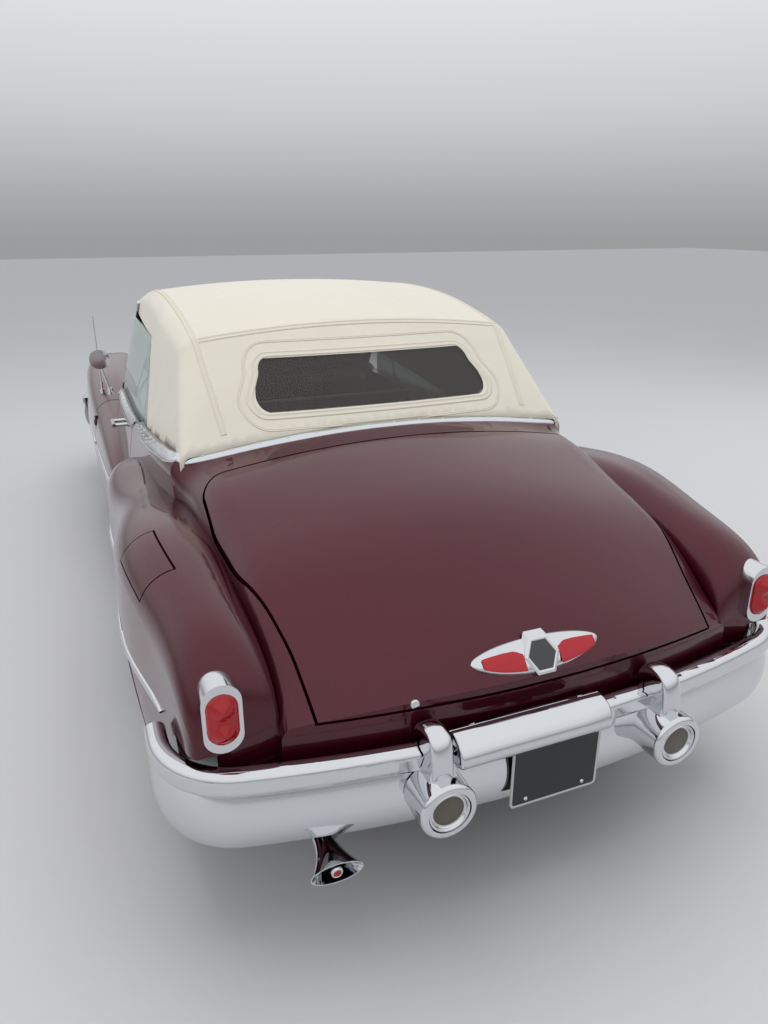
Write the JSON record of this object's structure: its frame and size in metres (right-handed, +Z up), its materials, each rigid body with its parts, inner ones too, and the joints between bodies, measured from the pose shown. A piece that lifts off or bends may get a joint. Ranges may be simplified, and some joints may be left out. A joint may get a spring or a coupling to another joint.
{
  "type": "convertible car",
  "caption": "Two-door convertible car of about 1950: pontoon body, raised canvas roof, chrome bumpers, opening doors and lids, steering and rolling wheels.",
  "frame": {"origin": "centre of the car's box, on the ground", "axes": "+Y towards the tail, +X towards the car's left side, +Z up"},
  "size_m": [2.0442, 5.14, 1.5806],
  "materials": {
    "paint": "deep burgundy metallic, high gloss",
    "underbody": "satin black chassis paint",
    "engine": "painted casting",
    "exhaust_steel": "dull heat-darkened steel",
    "chrome": "bright chrome plate",
    "clear_glass": "clear safety glass",
    "tinted_glass": "slightly tinted flexible window",
    "red_lens": "moulded red lamp glass",
    "canvas": "off-white canvas with stitched seams",
    "seat_leather": "pleated red leather",
    "dash_paint": "burgundy enamel",
    "wheel_plastic": "ivory rim",
    "tyre": "black rubber with white sidewall band",
    "wheel_paint": "burgundy steel wheel with bright cover"
  },
  "bodies": {
    "root": {"body_shell": "paint", "floor_pan": "underbody", "frame_rails": "underbody", "front_fenders": "paint", "rear_fenders": "paint", "fender_skirts": "paint", "nose_panel": "paint", "grille": "chrome", "inner_fenders": "underbody", "front_bumper": "chrome", "rear_bumper": "chrome", "headlamps": "chrome", "headlamp_lenses": "clear_glass", "tail_lamps": "chrome", "tail_lenses": "red_lens", "windscreen_frame": "chrome", "windscreen_glass": "clear_glass", "soft_top": "canvas", "rear_window": "tinted_glass", "engine_block": "engine", "gearbox": "engine", "radiator": "underbody", "fuel_tank": "underbody", "exhaust": "exhaust_steel", "rear_axle": "underbody", "front_suspension": "underbody", "front_cushion": "seat_leather", "front_backrest": "seat_leather", "rear_cushion": "seat_leather", "rear_backrest": "seat_leather", "dashboard": "dash_paint", "steering_column": "underbody", "quarter_panes": "clear_glass", "exhaust_outlet": "chrome", "radio_mast": "chrome"},
    "left_door": {"door_left": "paint", "door_glass_left": "clear_glass", "door_handle_left": "chrome", "vent_post_left": "chrome", "door_mirror": "chrome"},
    "right_door": {"door_right": "paint", "door_glass_right": "clear_glass", "door_handle_right": "chrome", "vent_post_right": "chrome"},
    "bonnet": {"hood": "paint"},
    "luggage_lid": {"trunk_lid": "paint"},
    "fuel_door": {"fuel_flap": "paint"},
    "steering": {"steering_wheel": "wheel_plastic"},
    "left_knuckle": {"knuckle_left": "underbody"},
    "right_knuckle": {"knuckle_right": "underbody"},
    "front_left_wheel": {"tyre_front_left": "tyre", "rim_front_left": "wheel_paint"},
    "front_right_wheel": {"tyre_front_right": "tyre", "rim_front_right": "wheel_paint"},
    "rear_left_wheel": {"tyre_rear_left": "tyre", "rim_rear_left": "wheel_paint"},
    "rear_right_wheel": {"tyre_rear_right": "tyre", "rim_rear_right": "wheel_paint"}
  },
  "joints": [
    {"name": "left_door_hinge", "type": "hinge", "parent": "root", "child": "left_door", "pos_m": [0.962, -0.782, 0.62], "axis": [0, 0, -1], "range_deg": [0, 65]},
    {"name": "right_door_hinge", "type": "hinge", "parent": "root", "child": "right_door", "pos_m": [-0.962, -0.782, 0.62], "axis": [0, 0, 1], "range_deg": [0, 65]},
    {"name": "bonnet_hinge", "type": "hinge", "parent": "root", "child": "bonnet", "pos_m": [0.7, -1.05, 0.915], "axis": [0.1779, 0.9838, 0.0222], "range_deg": [0, 40]},
    {"name": "luggage_lid_hinge", "type": "hinge", "parent": "root", "child": "luggage_lid", "pos_m": [0, 1.29, 1.108], "axis": [1, 0, 0], "range_deg": [0, 60]},
    {"name": "fuel_door_hinge", "type": "hinge", "parent": "root", "child": "fuel_door", "pos_m": [0.9695, 1.6245, 0.952], "axis": [0.6919, 0, -0.722], "range_deg": [0, 80]},
    {"name": "steering_turn", "type": "hinge", "parent": "root", "child": "steering", "pos_m": [0.375, -0.345, 0.99], "axis": [0, 0.848, 0.5299], "range_deg": [-540, 540]},
    {"name": "left_kingpin", "type": "hinge", "parent": "root", "child": "left_knuckle", "pos_m": [0.655, -1.756, 0.36], "axis": [0, 0, 1], "range_deg": [-30, 30]},
    {"name": "right_kingpin", "type": "hinge", "parent": "root", "child": "right_knuckle", "pos_m": [-0.655, -1.756, 0.36], "axis": [0, 0, 1], "range_deg": [-30, 30]},
    {"name": "front_left_wheel_spin", "type": "hinge", "parent": "left_knuckle", "child": "front_left_wheel", "pos_m": [0.751, -1.756, 0.36], "axis": [1, 0, 0], "continuous": true},
    {"name": "rear_left_wheel_spin", "type": "hinge", "parent": "root", "child": "rear_left_wheel", "pos_m": [0.79, 1.33, 0.36], "axis": [1, 0, 0], "continuous": true},
    {"name": "front_right_wheel_spin", "type": "hinge", "parent": "right_knuckle", "child": "front_right_wheel", "pos_m": [-0.751, -1.756, 0.36], "axis": [1, 0, 0], "continuous": true},
    {"name": "rear_right_wheel_spin", "type": "hinge", "parent": "root", "child": "rear_right_wheel", "pos_m": [-0.79, 1.33, 0.36], "axis": [1, 0, 0], "continuous": true}
  ],
  "couplings": [
    {"joint": "left_kingpin", "follows": "steering_turn", "ratio": 0.055556},
    {"joint": "right_kingpin", "follows": "steering_turn", "ratio": 0.055556}
  ]
}
